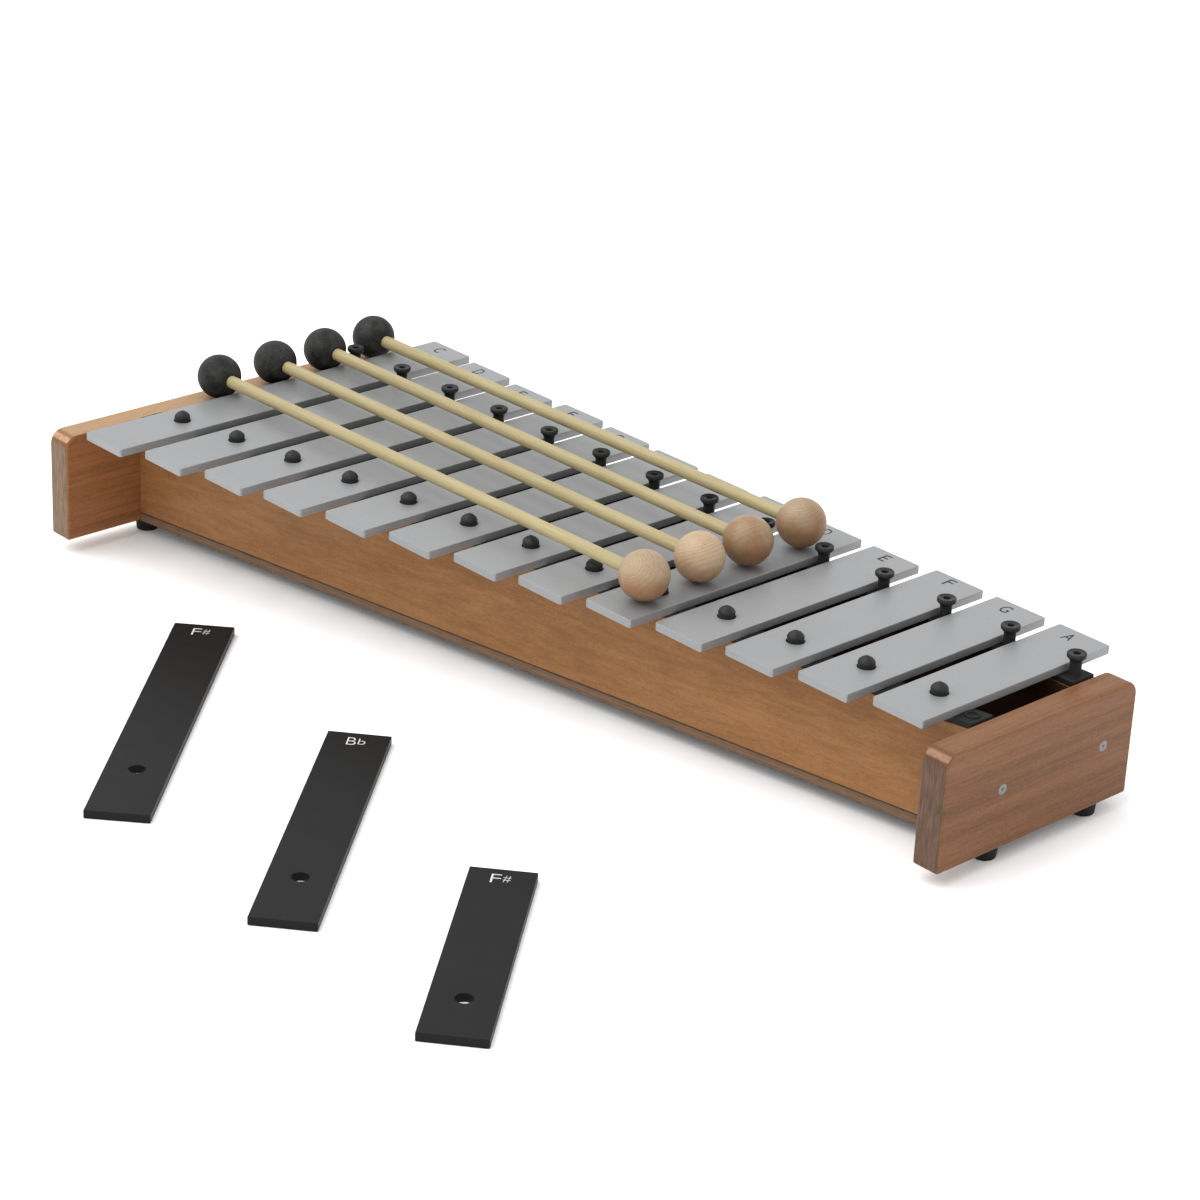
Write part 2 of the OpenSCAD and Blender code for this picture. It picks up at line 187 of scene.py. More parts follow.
class StageSettings(bpy.types.PropertyGroup):
    """Camera, light and floor."""

    azimuth: bpy.props.FloatProperty(
        name="Azimuth", description="Camera's turn round the object", default=math.radians(46.354), subtype="ANGLE"
    )
    elevation: bpy.props.FloatProperty(
        name="Elevation", description="Camera's height above the horizon", default=math.radians(24.438),
        subtype="ANGLE",
    )
    roll: bpy.props.FloatProperty(
        name="Roll", description="Camera's turn about its own axis", default=math.radians(2.806), subtype="ANGLE"
    )
    place: bpy.props.FloatVectorProperty(
        name="Place", description="Where the camera stands", default=(0.89758, -0.77203, 0.58723),
        subtype="TRANSLATION", unit="LENGTH", size=3,
    )
    lens: bpy.props.FloatProperty(
        name="Lens", description="Focal length on a 36 mm sensor", default=100.289, unit="CAMERA"
    )
    sky: bpy.props.FloatProperty(name="Sky", description="Strength of the even light", default=1.18, min=0)
    key: bpy.props.FloatProperty(name="Key", description="Strength of the soft light above", default=1.8, min=0)
    fill: bpy.props.FloatProperty(name="Fill", description="Strength of the soft light in front", default=0.5, min=0)
    floor: colour("Floor", "Colour of the floor", (0.95, 0.95, 0.95))


class GlockenspielSettings(bpy.types.PropertyGroup):
    """All settings."""

    bars: bpy.props.PointerProperty(type=BarSettings, name="Bars", description="Sounding bars and spare bars")
    box: bpy.props.PointerProperty(type=BoxSettings, name="Box", description="Wooden box")
    fittings: bpy.props.PointerProperty(type=FittingSettings, name="Fittings", description="Pins, posts and screws")
    mallets: bpy.props.PointerProperty(type=MalletSettings, name="Mallets", description="Mallets")
    stage: bpy.props.PointerProperty(type=StageSettings, name="Stage", description="Camera, light and floor")


def settings():
    """The scene's settings."""
    return bpy.context.scene.glockenspiel


# ---------------------------------------------------------------- materials


class Socket:
    """An output socket that takes Python's arithmetic, each step of which adds a Math node."""

    def __init__(self, paint, output):
        self.paint, self.output = paint, output

    def math(self, operation, *values):
        """A Math node on these values."""
        return self.paint.node("ShaderNodeMath", {"operation": operation}, dict(enumerate(values)))

    def __add__(self, other):
        return self.math("ADD", self, other)

    def __radd__(self, other):
        return self.math("ADD", other, self)

    def __sub__(self, other):
        return self.math("SUBTRACT", self, other)

    def __rsub__(self, other):
        return self.math("SUBTRACT", other, self)

    def __mul__(self, other):
        return self.math("MULTIPLY", self, other)

    def __rmul__(self, other):
        return self.math("MULTIPLY", other, self)

    def __abs__(self):
        return self.math("ABSOLUTE", self)


class Paint:
    """One material: its Principled shader and the nodes that feed it."""

    def __init__(self, name, **constants):
        self.material = bpy.data.materials.new(name)
        self.material.use_nodes = True
        self.tree = self.material.node_tree
        self.shader = self.tree.nodes["Principled BSDF"]
        for key, value in constants.items():
            self.shader.inputs[key.replace("_", " ").title().replace("Ior", "IOR")].default_value = value

    def node(self, kind, chosen=None, inputs=None, output=0):
        """A node of this kind: its settings are set first, then its inputs' values or links."""
        made = self.tree.nodes.new(kind)
        for key, value in (chosen or {}).items():
            if key != "stops":
                setattr(made, key, value)
                continue
            stops = made.color_ramp.elements
            for i, (place, shade) in enumerate(value):
                stop = stops[i] if i < 2 else stops.new(place)
                stop.position, stop.color = place, shade if len(shade) == 4 else (*shade, 1)
        for key, value in (inputs or {}).items():
            if isinstance(value, Socket):
                self.tree.links.new(value.output, made.inputs[key])
            else:
                made.inputs[key].default_value = value
        return Socket(self, made.outputs[output])

    def feed(self, socket, value):
        """Links a value to one of the shader's sockets."""
        self.tree.links.new(value.output, self.shader.inputs[socket])

    def place(self, scale=(1, 1, 1)):
        """Object coordinates, stretched by scale."""
        spot = self.node("ShaderNodeTexCoord", output="Object")
        return self.node("ShaderNodeMapping", {"vector_type": "POINT"}, {"Vector": spot, "Scale": scale})

    def about(self, centre, turn):
        """Object coordinates measured from centre, in a frame with this turn."""
        spot = self.node("ShaderNodeTexCoord", output="Object")
        return self.node(
            "ShaderNodeMapping", {"vector_type": "TEXTURE"}, {"Vector": spot, "Location": centre, "Rotation": turn}
        )

    def moved(self, vector, by):
        """A vector moved by another."""
        return self.node("ShaderNodeVectorMath", {"operation": "ADD"}, {0: vector, 1: by})

    def parts(self, vector):
        """The three numbers of a vector."""
        made = self.node("ShaderNodeSeparateXYZ", None, {"Vector": vector})
        return made, *(Socket(self, made.output.node.outputs[i]) for i in (1, 2))

    def facing(self, axis):
        """How much a face looks along an axis of the object, from 0 to 1."""
        normal = self.node("ShaderNodeTexCoord", output="Normal")
        return abs(self.parts(normal)[axis])

    def noise(self, vector, scale, detail=2.0, roughness=0.5, distortion=0.0):
        """Smooth noise from 0 to 1."""
        return self.node(
            "ShaderNodeTexNoise", {"noise_dimensions": "3D"},
            {"Vector": vector, "Scale": scale, "Detail": detail, "Roughness": roughness, "Distortion": distortion},
        )

    def ramp(self, factor, *stops):
        """Numbers along a ramp; each stop is (place, number)."""
        shades = [(place, (value, value, value)) for place, value in stops]
        return self.node("ShaderNodeValToRGB", {"stops": shades}, {0: factor})

    def mix(self, factor, a, b, blend="MIX"):
        """Colour a turning to colour b."""
        a, b = ((*c, 1) if isinstance(c, (tuple, list)) and len(c) == 3 else c for c in (a, b))
        return self.node("ShaderNodeMix", {"data_type": "RGBA", "blend_type": blend}, {0: factor, 6: a, 7: b}, 2)

    def bump(self, height, distance, strength=1.0):
        """Feeds the normal from a height."""
        values = {"Strength": strength, "Distance": distance, "Height": height}
        self.feed("Normal", self.node("ShaderNodeBump", None, values))


def rgb(value):
    """A colour property as a plain tuple."""
    return tuple(value[:3])


def shade_of(value, factor):
    """A colour made lighter or darker."""
    return tuple(min(1.0, c * factor) for c in value)


def satin_metal(name, tint, metallic, rough, mottle, gloss=0.5):
    """Satin metal with faint cloudiness, fine specks and a fine lengthwise finish."""
    paint = Paint(name, metallic=metallic, roughness=rough, specular_ior_level=gloss)
    cloud = paint.noise(paint.place(), 60, 3, 0.6)
    finish = paint.noise(paint.place((1, 0.06, 1)), 2200, 3, 0.65)
    speck = paint.noise(paint.place(), 1900, 2, 0.6)
    grit = paint.ramp(paint.noise(paint.place(), 3200, 1, 0.5), (0.66, 0), (0.74, 1))
    tone = paint.ramp(cloud * 0.3 + finish * 0.25 + speck * 0.45, (0.36, 0), (0.64, 1))
    worked = paint.mix(tone, shade_of(tint, 1 - mottle), shade_of(tint, 1 + mottle))
    paint.feed("Base Color", paint.mix(grit * 0.5, worked, shade_of(tint, 1 + 5 * mottle)))
    paint.feed("Roughness", paint.ramp(cloud * 0.6 + finish * 0.4, (0.25, rough - 0.05), (0.75, rough + 0.06)))
    paint.bump(finish * 0.4 + speck * 0.6, 0.03 * MM, 0.5)
    return paint.material


def wood(name, light, dark, end, grain, seed=0.0, bands=55, top=None, inner=None):
    """Fine hardwood with its grain along one axis, short dark pores, and end grain on the faces across it.

    top is the colour of the upward face where it differs, painted lighter for the light from above, and inner is
    (sign, colour) of the face across Y that looks into the box, painted dark as shade.
    """
    rough, start = 0.5, (seed, seed * 1.7, seed * 0.6)
    paint = Paint(name, roughness=rough, coat_weight=0.16, coat_roughness=0.2, specular_ior_level=0.12)

    def stretched(share):
        scale = [1.0, 1.0, 1.0]
        scale[grain] = share
        return paint.moved(paint.place(scale), start)

    band = paint.noise(stretched(0.1), bands, 3, 0.55, 0.6)
    line = paint.noise(stretched(0.02), 420, 3, 0.6, 0.3)
    fibre = paint.noise(stretched(0.05), 1300, 3, 0.65)
    speck = paint.noise(stretched(0.5), 1500, 2, 0.6)
    pore = paint.noise(stretched(0.06), 2400, 2, 0.5)
    tone = paint.ramp(band * 0.36 + line * 0.3 + fibre * 0.14 + speck * 0.2, (0.41, 0), (0.59, 1))
    long_grain = paint.mix(tone, dark, light)
    # Painted light: the upward face takes the lighter top colour where one is given
    if top:
        long_grain = paint.mix(paint.ramp(paint.facing(2), (0.8, 0), (0.95, 0.9)), long_grain, top)
    pores = paint.ramp(pore, (0.56, 0), (0.66, 1))
    long_grain = paint.mix(pores * 0.26, long_grain, shade_of(dark, 0.6))
    streak = paint.noise(paint.moved(paint.place((1, 1, 0.12)), start), 1100, 3, 0.6)
    across = paint.mix(paint.ramp(streak, (0.34, 0), (0.66, 1)), shade_of(end, 0.68), shade_of(end, 1.28))
    cut = paint.ramp(paint.facing(grain), (0.76, 0), (0.86, 1))
    shown = paint.mix(cut, long_grain, across)
    if grain == 1:
        # Painted light on each rounded top corner: the shoulders of the rounding are painted darker as shade, and a
        # narrow band between them is painted lighter as a highlight, streaked along the grain
        turning = paint.facing(1) * paint.facing(2)
        shown = paint.mix(paint.ramp(turning, (0.16, 0), (0.3, 0.55)), shown, shade_of(dark, 0.75))
        painted_corner_highlight = paint.ramp(turning, (0.42, 0), (0.48, 1)) * paint.ramp(streak, (0.3, 0.35), (0.6, 1))
        shown = paint.mix(painted_corner_highlight * 0.7, shown, shade_of(end, 3.6))
    # Painted shade: the face that looks into the box is painted dark
    if inner:
        sign, painted_inner_shade = inner
        normal = paint.node("ShaderNodeTexCoord", output="Normal")
        hidden = paint.ramp(paint.parts(normal)[1] * sign, (0.6, 0), (0.8, 1))
        shown = paint.mix(hidden, shown, painted_inner_shade)
    paint.feed("Base Color", shown)
    paint.feed("Roughness", paint.ramp(fibre * 0.5 + pore * 0.5, (0.3, rough - 0.06), (0.7, rough + 0.1)))
    paint.bump(fibre * 0.5 - pores * 0.5, 0.06 * MM, 0.5)
    return paint.material


def board_wood(name, tint, low, high, light, dark):
    """Board whose edge shows thin plies between the heights low and high, and whose faces go from light to dark."""
    paint = Paint(name, roughness=0.62, specular_ior_level=0.3)
    spot = paint.place()
    height = (paint.parts(spot)[2] - low) * (1 / (high - low))
    wander = paint.noise(paint.place((0.08, 1, 1)), 420, 3, 0.6)
    plies = paint.ramp(
        height + (wander - 0.5) * 0.22,
        (0.0, 0.25), (0.16, 0.75), (0.30, 0.45), (0.42, 0.9), (0.60, 0.5), (0.80, 0.65), (0.93, 0.2), (1.0, 0.05),
    )
    fibre = paint.noise(paint.place((0.04, 1, 1)), 1000, 4, 0.6)
    ply_tone = paint.ramp(plies * 0.55 + fibre * 0.45, (0.3, 0), (0.7, 1))
    edge = paint.mix(ply_tone, shade_of(tint, 0.5), shade_of(tint, 1.4))
    face = paint.mix(paint.ramp(fibre, (0.35, 0), (0.65, 1)), dark, light)
    flat = paint.ramp(paint.facing(2), (0.6, 0), (0.8, 1))
    paint.feed("Base Color", paint.mix(flat, edge, face))
    paint.bump(fibre, 0.08 * MM, 0.6)
    return paint.material


def black_rubber(name, tint, dust, rough=0.6, amount=0.5, clear=0.0):
    """Black rubber or moulding with faint bloom and fine dust."""
    paint = Paint(name, roughness=rough, coat_weight=clear, coat_roughness=0.35, specular_ior_level=0.16)
    cloud = paint.noise(paint.place(), 180, 4, 0.6)
    speck = paint.noise(paint.place(), 1500, 2, 0.6)
    bloom = paint.ramp(cloud, (0.38, 0), (0.72, 1)) * (0.45 * amount)
    dots = paint.ramp(speck, (0.62, 0), (0.72, 1)) * (0.55 * amount)
    paint.feed("Base Color", paint.mix(bloom + dots, tint, dust))
    paint.feed("Roughness", paint.ramp(cloud, (0.3, rough - 0.06), (0.7, rough + 0.08)))
    paint.bump(speck * 0.6 + cloud * 0.4, 0.05 * MM, 0.4)
    return paint.material


def plated_steel(name, tint):
    """Zinc-plated steel."""
    paint = Paint(name, metallic=0.9, roughness=0.35)
    grain = paint.noise(paint.place(), 1500, 3, 0.6)
    paint.feed("Base Color", paint.mix(grain, shade_of(tint, 0.8), shade_of(tint, 1.15)))
    paint.feed("Roughness", paint.ramp(grain, (0.3, 0.28), (0.7, 0.45)))
    return paint.material


def ink(name, tint):
    """Printed ink, slightly uneven."""
    paint = Paint(name, roughness=0.55, specular_ior_level=0.3)
    wear = paint.noise(paint.place(), 2600, 2, 0.6)
    paint.feed("Base Color", paint.mix(wear * 0.5, tint, shade_of(tint, 1.6 if max(tint) < 0.4 else 0.75)))
    return paint.material


def handle_wood(name, light, dark):
    """Pale straight-grained wood along X."""
    paint = Paint(name, roughness=0.5, coat_weight=0.08, coat_roughness=0.3, specular_ior_level=0.35)
    fibre = paint.noise(paint.place((0.02, 1, 1)), 1700, 3, 0.6)
    broad = paint.noise(paint.place((0.1, 1, 1)), 160, 2, 0.5)
    fleck = paint.noise(paint.place((0.12, 1, 1)), 2400, 1, 0.5)
    tone = paint.ramp(fibre * 0.6 + broad * 0.4, (0.34, 0), (0.62, 1))
    grained = paint.mix(tone, dark, light)
    marks = paint.ramp(fleck, (0.66, 0), (0.74, 1))
    paint.feed("Base Color", paint.mix(marks * 0.35, grained, shade_of(dark, 0.7)))
    paint.bump(fibre, 0.05 * MM, 0.5)
    return paint.material


def head_wood(name, light, dark, centre, radius, turn, shift, warmth, eye):
    """Pale turned wood: faint growth rings round an axis near the head's middle, and warmer, darker patches that are
    made more common lower down as painted shade.

    A ring of radius eye stands out, where eye is not 0.
    """
    ring_gap, eye_width, seed = 1.15 * MM, 0.45 * MM, shift * 900
    paint = Paint(name, roughness=0.5, coat_weight=0.12, coat_roughness=0.3, specular_ior_level=0.35)
    spot = paint.about(centre, turn)

    def stretched(*scale):
        moved = paint.moved(spot, (seed, seed, seed))
        return paint.node("ShaderNodeMapping", {"vector_type": "POINT"}, {"Vector": moved, "Scale": scale})

    x, y, _ = paint.parts(spot)
    warp = paint.noise(stretched(1, 1, 0.5), 130, 3, 0.5)
    across = (x + shift) * (x + shift) + (y - shift * 0.3) * (y - shift * 0.3)
    reach = across.math("SQRT", across)
    phase = reach * (2 * math.pi / ring_gap) + warp * 4.0
    ring = phase.math("SINE", phase) * 0.5 + 0.5
    late = paint.ramp(ring, (0.3, 0), (1.0, 1))
    fibre = paint.noise(stretched(1, 1, 0.05), 1500, 3, 0.6)
    fleck = paint.noise(stretched(0.35, 1, 0.12), 1700, 1, 0.5)
    cloud = paint.noise(stretched(1, 1, 0.55), 75, 3, 0.55)
    # Painted shade: the head's wood is made darker and warmer towards its bottom, on top of its random warm patches
    painted_shade_height = (paint.parts(paint.place())[2] - centre.z) * (1 / radius)
    warmth_and_painted_shade = paint.ramp(cloud * 0.8 - painted_shade_height * 0.3 + (0.08 + warmth), (0.36, 0), (0.66, 1))
    base = paint.mix(warmth_and_painted_shade * 0.72, light, dark)
    ringed = paint.mix(late * (0.05 + cloud * 0.3), base, dark)
    if eye:
        line = paint.ramp(abs(reach - eye) * (1 / eye_width), (0, 1), (1, 0))
        ringed = paint.mix(line * 0.5, ringed, tuple(c * f for c, f in zip(light, (0.72, 0.82, 0.6))))
    fibrous = paint.mix(paint.ramp(fibre, (0.35, 0), (0.7, 1)) * 0.2, ringed, dark)
    marks = paint.ramp(fleck, (0.63, 0), (0.72, 1))
    paint.feed("Base Color", paint.mix(marks * 0.3, fibrous, shade_of(dark, 0.7)))
    paint.bump(fibre * 0.7 + late * 0.3, 0.04 * MM, 0.4)
    return paint.material


# ---------------------------------------------------------------- mesh helpers


def finish_piece(name, bm, material, body, replaces=(), smooth_angle=38, weighted=False):
    """Makes the object, gives it its material and puts it on its body."""
    bmesh.ops.remove_doubles(bm, verts=bm.verts[:], dist=MERGE)
    bmesh.ops.recalc_face_normals(bm, faces=bm.faces[:])
    if any(not edge.is_manifold for edge in bm.edges):
        raise RuntimeError(f"{name} is not a closed shape")
    mesh = bpy.data.meshes.new(name)
    bm.to_mesh(mesh)
    bm.free()
    mesh.shade_smooth()
    mesh.set_sharp_from_angle(angle=math.radians(smooth_angle))
    mesh.materials.append(material)
    piece = bpy.data.objects.new(name, mesh)
    bpy.context.scene.collection.objects.link(piece)
    if weighted:
        normals = piece.modifiers.new("Weighted normals", "WEIGHTED_NORMAL")
        normals.keep_sharp = True
    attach(piece, body)
    if replaces:
        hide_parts(*replaces)
    return piece


def bevel(bm, edges, offset, segments):
    """Rounds these edges."""
    bmesh.ops.bevel(
        bm, geom=edges, offset=offset, offset_type="OFFSET", segments=segments, profile=0.5, affect="EDGES",
        clamp_overlap=True, material=-1,
    )


def sharp_edges(bm, degrees=50):
    """The edges where two faces meet at more than this angle."""
    return [e for e in bm.edges if len(e.link_faces) == 2 and e.calc_face_angle(0) > math.radians(degrees)]


def pull(bm, made, depth):
    """Moves the points of what an extrusion made."""
    bmesh.ops.translate(bm, verts=[g for g in made["geom"] if isinstance(g, bmesh.types.BMVert)], vec=depth)


def extruded(bm, outline, depth):
    """A closed prism: the outline's points joined in one face and pulled along depth."""
    face = bm.faces.new([bm.verts.new(point) for point in outline])
    pull(bm, bmesh.ops.extrude_face_region(bm, geom=[face]), depth)


def metres(*points):
    """A profile whose points are given in millimetres."""
    return [(radius * MM, height * MM) for radius, height in points]


def turned(bm, profile, steps=40, place=None):
    """Spins a profile of (radius, height) points round Z, then moves it by the matrix place."""
    chain = [bm.verts.new((radius, 0, height)) for radius, height in profile]
    edges = [bm.edges.new(pair) for pair in zip(chain, chain[1:])]
    before = set(bm.verts) - set(chain)
    bmesh.ops.spin(
        bm, geom=chain + edges, cent=(0, 0, 0), axis=(0, 0, 1), angle=2 * math.pi, steps=steps, use_merge=True,
        use_duplicate=False,
    )
    spun = [v for v in bm.verts if v not in before]
    bmesh.ops.remove_doubles(bm, verts=spun, dist=MERGE)
    if place is not None:
        spun = [v for v in bm.verts if v not in before]
        bmesh.ops.transform(bm, matrix=place, verts=spun)


def arc(centre, radius, start, end, steps):
    """Points on an arc from start to end, in degrees, as (radius, height) pairs."""
    angles = [math.radians(start + (end - start) * i / steps) for i in range(steps + 1)]
    return [(max(0.0, centre[0] + radius * math.cos(a)), centre[1] + radius * math.sin(a)) for a in angles]


def row(node, radius, count):
    """Middles of the pieces of a row that runs along X, as high as the bottom of the row's box."""
    low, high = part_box(node)
    first, final = Vector((low.x + radius, low.y + radius, low.z)), Vector((high.x - radius, high.y - radius, low.z))
    return [first.lerp(final, i / (count - 1)) for i in range(count)]


# ---------------------------------------------------------------- bars


def bar_mesh(long, thick, hole, corner):
    """A bar lying flat with its front edge's middle at the origin: hole, round corners and soft edges."""
    size = settings().bars
    half, sides = size.width / 2, 32
    hole_y = size.hole_share * long
    bm = bmesh.new()
    bmesh.ops.create_circle(bm, cap_ends=False, segments=sides, radius=hole / 2)
    square = bmesh.ops.create_circle(bm, cap_ends=False, segments=sides, radius=half)["verts"]
    for v in square:
        v.co *= half / max(abs(v.co.x), abs(v.co.y))
    bmesh.ops.bridge_loops(bm, edges=bm.edges[:])
    for side, reach in ((-1, hole_y), (1, long - hole_y)):
        side_edges = [e for e in bm.edges if all(abs(v.co.y - side * half) < TINY for v in e.verts)]
        pull(bm, bmesh.ops.extrude_edge_only(bm, edges=side_edges), (0, side * (reach - half), 0))
    pull(bm, bmesh.ops.extrude_face_region(bm, geom=bm.faces[:]), (0, 0, thick))
    bmesh.ops.translate(bm, verts=bm.verts[:], vec=(0, hole_y, 0))

    def is_end(v):
        return abs(abs(v.co.x) - half) < TINY and (abs(v.co.y) < TINY or abs(v.co.y - long) < TINY)

    def is_level(e):
        return abs(e.verts[0].co.z - e.verts[1].co.z) < TINY

    bevel(bm, [e for e in bm.edges if all(is_end(v) for v in e.verts) and not is_level(e)], corner, 4)
    bevel(bm, [e for e in sharp_edges(bm) if is_level(e)], size.edge, 2)
    return bm


def letter_mesh(text, width, height, thick, thin=0.0):
    """A printed letter lying flat, with its middle at the origin."""
    curve = bpy.data.curves.new("letter", "FONT")
    curve.body = text
    curve.extrude = 0.5
    curve.offset = -thin
    curve.resolution_u = 4
    carrier = bpy.data.objects.new("letter", curve)
    bpy.context.scene.collection.objects.link(carrier)
    bpy.context.view_layer.update()
    mesh = bpy.data.meshes.new_from_object(carrier.evaluated_get(bpy.context.evaluated_depsgraph_get()))
    bpy.data.objects.remove(carrier)
    bm = bmesh.new()
    bm.from_mesh(mesh)
    bpy.data.meshes.remove(mesh)
    low = Vector(min(v.co[i] for v in bm.verts) for i in range(3))
    high = Vector(max(v.co[i] for v in bm.verts) for i in range(3))
    middle, span = (low + high) / 2, high - low
    bmesh.ops.translate(bm, verts=bm.verts[:], vec=-middle)
    bmesh.ops.scale(bm, verts=bm.verts[:], vec=(width / span.x, height / span.y, thick / span.z))
    return bm


class GLOCKENSPIEL_OT_bars(bpy.types.Operator):
    """Builds the thirteen sounding bars and the letters on them"""

    bl_idname = "glockenspiel.bars"
    bl_label = "Bars"

    def execute(self, context):
        own = settings().bars
        metal = satin_metal("satin_bar_metal", rgb(own.metal), 0.5, 0.46, 0.06)
        letters = ink("dark_letter_ink", rgb(own.ink))
        for node, note in BARS.items():
            low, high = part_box(node)
            bm = bar_mesh(high.y - low.y, high.z - low.z, own.hole, own.corner)
            bmesh.ops.translate(bm, verts=bm.verts[:], vec=((low.x + high.x) / 2, low.y, low.z))
            finish_piece(f"{node}_blank", bm, metal, node, [node], weighted=True)
            tall = own.letter_height
            bm = letter_mesh(note, tall * LETTER_WIDTHS[note], tall, 2 * PRINT)
            stray = STRAYS.get(node, (0, 0))
            spot = ((low.x + high.x) / 2 - own.letter_aside + stray[0], high.y - own.letter_inset + stray[1], high.z)
            bmesh.ops.translate(bm, verts=bm.verts[:], vec=spot)
            finish_piece(f"{node}_letter", bm, letters, node)
        return {"FINISHED"}


class GLOCKENSPIEL_OT_spare_bars(bpy.types.Operator):
    """Builds the three dark spare bars and the letters on them"""

    bl_idname = "glockenspiel.spare_bars"
    bl_label = "Spare bars"

    def execute(self, context):
        own = settings().bars
        metal = satin_metal("dark_spare_metal", rgb(own.spare), 0.0, 0.42, 0.08, 0.1)
        letters = ink("white_letter_ink", rgb(own.spare_ink))
        for node, (turn, long, note, sign) in SPARES.items():
            low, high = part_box(node)
            middle = (low + high) / 2
            place = Matrix.Translation((middle.x, middle.y, low.z)) @ Matrix.Rotation(math.radians(turn), 4, "Z")
            place = place @ Matrix.Translation((0, -long / 2, 0))
            bm = bar_mesh(long, high.z - low.z, own.spare_hole, own.spare_corner)
            bmesh.ops.transform(bm, matrix=place, verts=bm.verts[:])
            finish_piece(f"{node}_blank", bm, metal, node, [node], weighted=True)
            tall = own.letter_height
            for text, (name, (x, y, share)) in zip((note, sign), SPARE_MARKS.items()):
                bm = letter_mesh(text, tall * share * SPARE_MARK_WIDTH, tall * share, 2 * PRINT, SPARE_MARK_THIN)
                spot = place @ Vector((x, long - own.letter_inset + y, high.z - low.z))
                turned_spot = Matrix.Translation(spot) @ Matrix.Rotation(math.radians(turn), 4, "Z")
                bmesh.ops.transform(bm, matrix=turned_spot, verts=bm.verts[:])
                finish_piece(f"{node}_{name}", bm, letters, node)
        return {"FINISHED"}


# ---------------------------------------------------------------- box


class GLOCKENSPIEL_OT_end_plates(bpy.types.Operator):
    """Builds the two wooden end plates"""

    bl_idname = "glockenspiel.end_plates"
    bl_label = "End plates"

    def execute(self, context):
        own = settings().box
        plates = (
            ("low_end_plate", 0.31, rgb(own.low_lit_top), own.low_light, own.low_dark, own.low_end),
            ("high_end_plate", 1.7, None, own.high_light, own.high_dark, own.end_grain),
        )
        for node, seed, top, *colours in plates:
            low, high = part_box(node)
            timber = wood(f"{node}_wood", *map(rgb, colours), 1, seed, bands=48, top=top)
            bm = bmesh.new()
            outline = [(low.x, low.y, low.z), (low.x, high.y, low.z), (low.x, high.y, high.z), (low.x, low.y, high.z)]
            extruded(bm, outline, (high.x - low.x, 0, 0))
            tops = [
                e for e in bm.edges
                if all(abs(v.co.z - high.z) < TINY for v in e.verts) and abs(e.verts[0].co.y - e.verts[1].co.y) < TINY
            ]
            bevel(bm, tops, own.plate_corner, 8)
            bevel(bm, sharp_edges(bm), own.plate_edge, 3)
            finish_piece(node + "_timber", bm, timber, "box", [node], weighted=True)
        return {"FINISHED"}


def slanted(node, depth, edge=0.5 * MM, segments=2, low_back=None, high_front=None):
    """A straight piece between the end plates, its front and rear edges slanted as its node's are.

    depth is its size from front to rear. low_back and high_front are given where that size differs at its two ends.
    """
    low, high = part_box(node)
    front = low.y, (high.y - depth if high_front is None else high_front)
    rear = (low.y + depth if low_back is None else low_back), high.y
    bm = bmesh.new()
    outline = [
        (low.x, front[0], low.z), (high.x, front[1], low.z), (high.x, rear[1], low.z), (low.x, rear[0], low.z),
    ]
    extruded(bm, outline, (0, 0, high.z - low.z))
    bevel(bm, sharp_edges(bm), edge, segments)
    return bm


class GLOCKENSPIEL_OT_rails(bpy.types.Operator):
    """Builds the two slanted rails and the bottom board"""

    bl_idname = "glockenspiel.rails"
    bl_label = "Rails and board"

    def execute(self, context):
        own = settings().box
        light, dark, end = rgb(own.rail_light), rgb(own.rail_dark), rgb(own.end_grain)
        inside = rgb(own.inside)
        for node, seed, inward in (("front_rail", 0.9, 1), ("rear_rail", 2.3, -1)):
            timber = wood(f"{node}_wood", light, dark, end, 0, seed, bands=60, inner=(inward, inside))
            finish_piece(
                node + "_timber", slanted(node, own.rail_depth), timber, "box", [node], weighted=True
            )
        low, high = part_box("bottom_board")
        # Painted shade: the board's faces take the dark colour of the box's inside
        faces = shade_of(inside, 1.3), shade_of(inside, 0.7)
        timber = board_wood("bottom_board_wood", rgb(own.board), low.z, high.z, *faces)
        bm = slanted(
            "bottom_board", 0, low_back=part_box("rear_rail")[0].y + own.rail_depth,
            high_front=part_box("front_rail")[1].y - own.rail_depth, edge=0.35 * MM,
        )
        finish_piece("bottom_board_sheet", bm, timber, "box", ["bottom_board"], weighted=True)
        return {"FINISHED"}


# ---------------------------------------------------------------- fittings


class GLOCKENSPIEL_OT_strips(bpy.types.Operator):
    """Builds the two rubber strips under the bars"""

    bl_idname = "glockenspiel.strips"
    bl_label = "Rubber strips"

    def execute(self, context):
        tint = rgb(settings().fittings.rubber)
        rubber = black_rubber("strip_rubber", tint, shade_of(tint, 2.4), 0.62)
        depth = settings().box.rail_depth - 2 * settings().box.strip_inset
        for node in ("front_strip", "rear_strip"):
            bm = slanted(node, depth, segments=3)
            finish_piece(node + "_rubber", bm, rubber, "box", [node], weighted=True)

        # A raised rim at each end of the front strip, in line with the outermost posts
        low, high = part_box("front_strip")
        rim = metres(
            (1.9, -0.4), (3.0, -0.4), (3.0, 0.5), (2.85, 0.75), (2.45, 0.8), (2.1, 0.65), (1.9, 0.3), (1.9, -0.4)
        )
        bm = bmesh.new()
        for x in (spot.x for spot in row("rear_posts", settings().fittings.flange / 2, 2)):
            along = (x - low.x) / (high.x - low.x)
            y = (low.y + depth / 2) * (1 - along) + (high.y - depth / 2) * along
            turned(bm, rim, 28, Matrix.Translation((x, y, high.z)))
        finish_piece("front_strip_rims", bm, rubber, "box", smooth_angle=45)
        return {"FINISHED"}


